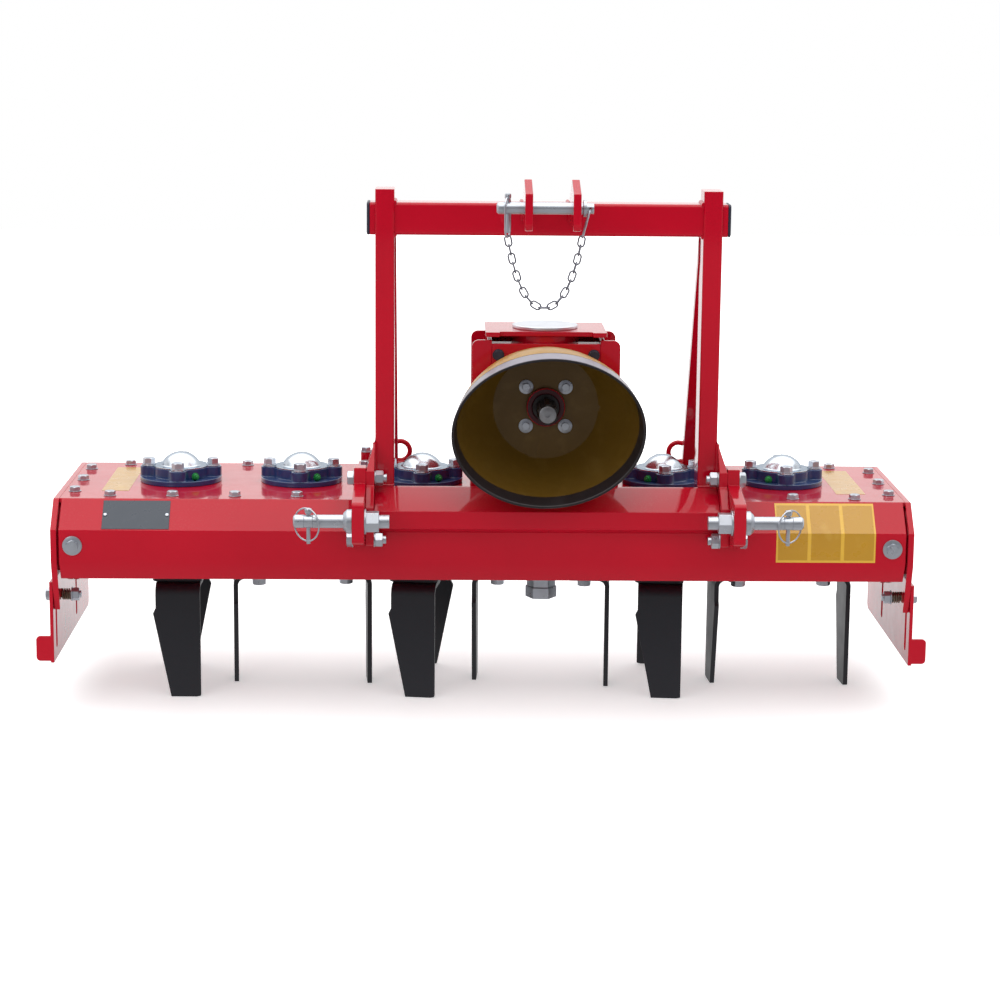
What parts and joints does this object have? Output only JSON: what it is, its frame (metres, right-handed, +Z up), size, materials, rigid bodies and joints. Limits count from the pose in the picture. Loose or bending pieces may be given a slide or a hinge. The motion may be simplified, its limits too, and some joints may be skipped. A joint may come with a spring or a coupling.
{
  "type": "power harrow",
  "caption": "Small tractor-mounted power harrow: a closed gear trough with upright rotors and knife tines, a three-point hitch and a guarded input shaft.",
  "frame": {"origin": "centre of the bounding box's base, at floor level under the tine tips", "axes": "+X to the right seen from the tractor, along the trough; +Y to the rear; +Z up"},
  "size_m": [1.5046, 0.545, 0.9005],
  "materials": {
    "red_paint": "gloss",
    "navy_paint": "gloss",
    "black_steel": "satin",
    "zinc": "bright zinc plate",
    "bare_steel": "machined",
    "green_plastic": "gloss",
    "black_plastic": "matte",
    "yellow_plastic": "semi-gloss",
    "black_rubber": "matte"
  },
  "bodies": {
    "frame": {"bearing_covers": "zinc", "bearing_housings": "navy_paint", "brace_left": "red_paint", "brace_right": "red_paint", "end_plate_left": "red_paint", "end_plate_right": "red_paint", "gearbox_cap": "zinc", "gearbox_front_plate": "red_paint", "gearbox_housing": "red_paint", "gearbox_support_left": "red_paint", "gearbox_support_right": "red_paint", "gearbox_top_plate": "red_paint", "grease_plugs": "green_plastic", "guard_bell": "yellow_plastic", "guard_lip": "black_rubber", "gusset_left": "red_paint", "gusset_right": "red_paint", "hitch_beam": "red_paint", "lifting_eyes": "red_paint", "lower_bearings": "navy_paint", "lower_link_pin_left": "zinc", "lower_link_pin_right": "zinc", "pin_chain": "zinc", "pin_plate_left": "red_paint", "pin_plate_right": "red_paint", "post_left": "red_paint", "post_right": "red_paint", "side_plate_bolts_left": "zinc", "side_plate_bolts_right": "zinc", "top_linch": "zinc", "top_link_lugs": "red_paint", "top_link_pin": "zinc", "top_tube": "red_paint", "trough_body": "red_paint", "trough_lid": "red_paint", "tube_caps": "black_plastic"},
    "input_shaft": {"input_shaft": "bare_steel"},
    "side_plate_left": {"side_plate_left": "red_paint"},
    "side_plate_right": {"side_plate_right": "red_paint"},
    "linch_left": {"linch_left": "zinc"},
    "linch_right": {"linch_right": "zinc"},
    "rotor_1": {"rotor_1": "black_steel", "tines_1": "black_steel"},
    "rotor_2": {"rotor_2": "black_steel", "tines_2": "black_steel"},
    "rotor_3": {"rotor_3": "black_steel", "tines_3": "black_steel"},
    "rotor_4": {"rotor_4": "black_steel", "tines_4": "black_steel"},
    "rotor_5": {"rotor_5": "black_steel", "tines_5": "black_steel"},
    "rotor_6": {"rotor_6": "black_steel", "tines_6": "black_steel"}
  },
  "joints": [
    {"name": "rotor_1_spin", "type": "hinge", "parent": "frame", "child": "rotor_1", "pos_m": [-0.525, 0.0425, 0.1981], "axis": [0, 0, 1], "continuous": true},
    {"name": "rotor_2_spin", "type": "hinge", "parent": "frame", "child": "rotor_2", "pos_m": [-0.315, 0.0425, 0.1981], "axis": [0, 0, 1], "continuous": true},
    {"name": "rotor_3_spin", "type": "hinge", "parent": "frame", "child": "rotor_3", "pos_m": [-0.105, 0.0425, 0.1981], "axis": [0, 0, 1], "continuous": true},
    {"name": "rotor_4_spin", "type": "hinge", "parent": "frame", "child": "rotor_4", "pos_m": [0.105, 0.0425, 0.1981], "axis": [0, 0, 1], "continuous": true},
    {"name": "rotor_5_spin", "type": "hinge", "parent": "frame", "child": "rotor_5", "pos_m": [0.315, 0.0425, 0.1981], "axis": [0, 0, 1], "continuous": true},
    {"name": "rotor_6_spin", "type": "hinge", "parent": "frame", "child": "rotor_6", "pos_m": [0.525, 0.0425, 0.1981], "axis": [0, 0, 1], "continuous": true},
    {"name": "input_shaft_spin", "type": "hinge", "parent": "frame", "child": "input_shaft", "pos_m": [0.105, -0.1535, 0.5073], "axis": [0, 1, 0], "continuous": true},
    {"name": "side_plate_left_slide", "type": "slide", "parent": "frame", "child": "side_plate_left", "axis": [0, 0, 1], "range_m": [-0.008, 0.084]},
    {"name": "side_plate_right_slide", "type": "slide", "parent": "frame", "child": "side_plate_right", "axis": [0, 0, 1], "range_m": [-0.008, 0.084]},
    {"name": "linch_left_lift", "type": "slide", "parent": "frame", "child": "linch_left", "axis": [0, 0, 1], "range_m": [0, 0.07]},
    {"name": "linch_right_lift", "type": "slide", "parent": "frame", "child": "linch_right", "axis": [0, 0, 1], "range_m": [0, 0.07]}
  ],
  "couplings": [
    {"joint": "rotor_1_spin", "follows": "rotor_4_spin", "ratio": -1},
    {"joint": "rotor_2_spin", "follows": "rotor_4_spin", "ratio": 1},
    {"joint": "rotor_3_spin", "follows": "rotor_4_spin", "ratio": -1},
    {"joint": "rotor_5_spin", "follows": "rotor_4_spin", "ratio": -1},
    {"joint": "rotor_6_spin", "follows": "rotor_4_spin", "ratio": 1},
    {"joint": "input_shaft_spin", "follows": "rotor_4_spin", "ratio": 1.8}
  ]
}
